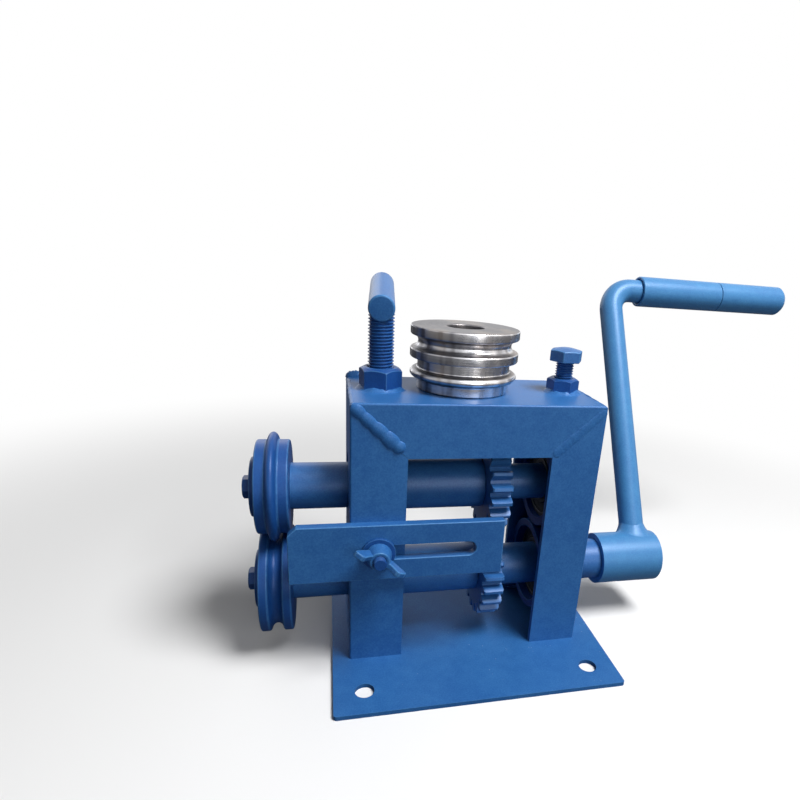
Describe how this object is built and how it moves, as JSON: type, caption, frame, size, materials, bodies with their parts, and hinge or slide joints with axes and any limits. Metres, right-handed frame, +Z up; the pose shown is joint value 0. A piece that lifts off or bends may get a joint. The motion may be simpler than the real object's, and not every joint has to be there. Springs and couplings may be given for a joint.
{
  "type": "sheet metal crimper",
  "caption": "Bench-top hand cranked sheet metal crimper: geared forming rollers on overhung shafts in a welded channel frame, with screw-down, edge guide and bent crank.",
  "frame": {"origin": "middle of the base plate's underside, under the plane of both shafts", "axes": "+X along the shafts towards the crank, +Y to the back, away from the edge guide, +Z up"},
  "size_m": [0.4583, 0.2103, 0.2549],
  "materials": {
    "blue_paint": "semi-gloss blue machine paint over steel, with dust specks and small chips",
    "dark_blue_paint": "the same blue paint on turned, threaded and cast pieces, worn bright at the edges",
    "bare_steel": "bare turned steel with fine turning marks, lightly oiled",
    "bearing_steel": "ground steel",
    "seal_rubber": "matt black bearing seal"
  },
  "bodies": {
    "frame": {"base_plate": "blue_paint", "left_upright": "blue_paint", "right_upright": "blue_paint", "top_beam": "blue_paint", "left_corner_weld": "blue_paint", "right_corner_weld": "blue_paint", "pressure_nut": "dark_blue_paint", "setting_nut": "dark_blue_paint", "lower_left_housing": "blue_paint", "lower_right_housing": "blue_paint", "lower_left_outer_race": "bearing_steel", "lower_left_seal": "seal_rubber", "lower_right_outer_race": "bearing_steel", "lower_right_seal": "seal_rubber", "clamp_bolt": "dark_blue_paint"},
    "crank": {"lower_shaft": "blue_paint", "lower_gear": "dark_blue_paint", "lower_gear_key": "bearing_steel", "lower_roller": "dark_blue_paint", "lower_roller_washer": "dark_blue_paint", "lower_roller_bolt": "dark_blue_paint", "lower_spacer": "blue_paint", "lower_left_inner_race": "bearing_steel", "lower_right_inner_race": "bearing_steel", "crank_hub": "blue_paint", "crank_rod": "blue_paint", "crank_grub_screw": "bearing_steel", "grip_end": "blue_paint"},
    "grip_sleeve": {"grip_sleeve": "blue_paint"},
    "right_bearing_block": {"upper_right_housing": "blue_paint"},
    "upper_carrier": {"upper_left_housing": "blue_paint", "upper_left_outer_race": "bearing_steel", "upper_left_seal": "seal_rubber", "upper_right_outer_race": "bearing_steel", "upper_right_seal": "seal_rubber"},
    "upper_shaft": {"upper_shaft": "blue_paint", "upper_gear": "dark_blue_paint", "upper_gear_key": "bearing_steel", "upper_roller": "dark_blue_paint", "upper_roller_washer": "dark_blue_paint", "upper_roller_bolt": "dark_blue_paint", "upper_spacer": "blue_paint", "upper_left_inner_race": "bearing_steel", "upper_right_inner_race": "bearing_steel"},
    "pressure_pad": {"pressure_pad": "bearing_steel"},
    "pressure_screw": {"pressure_screw": "dark_blue_paint", "tommy_bar": "blue_paint"},
    "setting_button": {"setting_button": "bearing_steel"},
    "setting_screw": {"setting_screw": "dark_blue_paint"},
    "edge_guide": {"edge_guide": "blue_paint"},
    "clamp_washer": {"clamp_washer": "dark_blue_paint"},
    "wing_nut": {"wing_nut": "dark_blue_paint"},
    "spare_male_roller": {"spare_male_roller": "bare_steel"},
    "spare_female_roller": {"spare_female_roller": "bare_steel"}
  },
  "joints": [
    {"name": "crank_turn", "type": "hinge", "parent": "frame", "child": "crank", "pos_m": [0, 0, 0.0466], "axis": [1, 0, 0], "continuous": true},
    {"name": "grip_spin", "type": "hinge", "parent": "crank", "child": "grip_sleeve", "pos_m": [0.20475, 0.1108, 0.24243], "axis": [1, 0, 0], "continuous": true},
    {"name": "right_bearing_tilt", "type": "hinge", "parent": "frame", "child": "right_bearing_block", "pos_m": [-0.063, 0, 0.113], "axis": [0, 1, 0], "range_deg": [-0.105, 0.415]},
    {"name": "left_bearing_lift", "type": "hinge", "parent": "right_bearing_block", "child": "upper_carrier", "pos_m": [0.0595, 0, 0.113], "axis": [0, 1, 0], "range_deg": [-0.36, 1.42]},
    {"name": "upper_shaft_turn", "type": "hinge", "parent": "upper_carrier", "child": "upper_shaft", "pos_m": [0, 0, 0.113], "axis": [1, 0, 0], "continuous": true},
    {"name": "pressure_pad_slide", "type": "slide", "parent": "frame", "child": "pressure_pad", "axis": [0, 0, 1], "range_m": [-0.00076, 0.00301]},
    {"name": "pressure_screw_turn", "type": "hinge", "parent": "pressure_pad", "child": "pressure_screw", "pos_m": [-0.063, 0, 0.2], "axis": [0, 0, 1], "range_deg": [-135, 540]},
    {"name": "setting_button_slide", "type": "slide", "parent": "frame", "child": "setting_button", "axis": [0, 0, 1], "range_m": [-0.00087, 0.00022]},
    {"name": "setting_screw_turn", "type": "hinge", "parent": "setting_button", "child": "setting_screw", "pos_m": [0.0595, 0, 0.2], "axis": [0, 0, 1], "range_deg": [-180, 45]},
    {"name": "edge_guide_slide", "type": "slide", "parent": "frame", "child": "edge_guide", "axis": [1, 0, 0], "range_m": [-0.057, 0.002]},
    {"name": "clamp_washer_slide", "type": "slide", "parent": "frame", "child": "clamp_washer", "axis": [0, 1, 0], "range_m": [-0.00251, 0]},
    {"name": "wing_nut_turn", "type": "hinge", "parent": "clamp_washer", "child": "wing_nut", "pos_m": [-0.066, -0.05, 0.085], "axis": [0, 1, 0], "range_deg": [-720, 0]},
    {"name": "spare_male_lift", "type": "slide", "parent": "frame", "child": "spare_male_roller", "axis": [0, 0, 1], "range_m": [0, 0.06]},
    {"name": "spare_female_lift", "type": "slide", "parent": "spare_male_roller", "child": "spare_female_roller", "axis": [0, 0, 1], "range_m": [0, 0.06]}
  ],
  "couplings": [
    {"joint": "upper_shaft_turn", "follows": "crank_turn", "ratio": -1},
    {"joint": "pressure_pad_slide", "follows": "pressure_screw_turn", "m_per_rad": 0.00031831},
    {"joint": "left_bearing_lift", "follows": "pressure_screw_turn", "ratio": 0.0025984},
    {"joint": "setting_screw_turn", "follows": "setting_button_slide", "rad_per_m": 3590.4},
    {"joint": "right_bearing_tilt", "follows": "setting_button_slide", "rad_per_m": -8.1633},
    {"joint": "clamp_washer_slide", "follows": "wing_nut_turn", "m_per_rad": 0.00019894}
  ]
}
